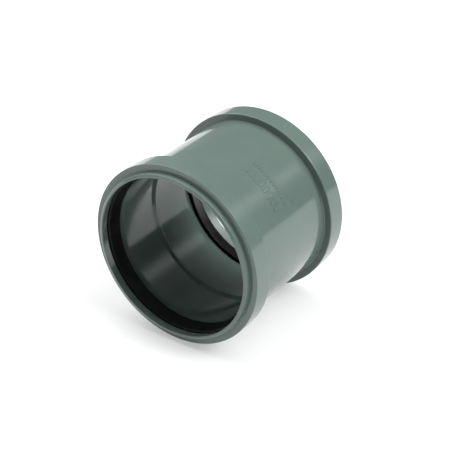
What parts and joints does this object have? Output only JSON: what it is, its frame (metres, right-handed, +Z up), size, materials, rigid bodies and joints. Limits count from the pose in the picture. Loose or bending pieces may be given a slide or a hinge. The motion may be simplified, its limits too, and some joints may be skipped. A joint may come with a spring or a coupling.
{
  "type": "push fit coupling",
  "caption": "Straight double socket coupling for soil pipe: a plain barrel between end collars, each holding a rubber lip seal under a snap-in retaining cap.",
  "frame": {"origin": "middle of the coupling, on the bore axis, at the pipe stop", "axes": "+Y along the bore axis towards the rear socket, +Z up, so the coupling lies on its collars"},
  "size_m": [0.1264, 0.1098, 0.1264],
  "materials": {
    "body_plastic": "semi-gloss moulded grey-green rigid plastic",
    "cap_plastic": "semi-gloss moulded grey-green rigid plastic",
    "seal_rubber": "smooth black sealing rubber with a slight sheen"
  },
  "bodies": {
    "root": {"coupling_body": "body_plastic", "front_retaining_cap": "cap_plastic", "rear_retaining_cap": "cap_plastic", "front_seal_ring": "seal_rubber", "rear_seal_ring": "seal_rubber"}
  },
  "joints": []
}
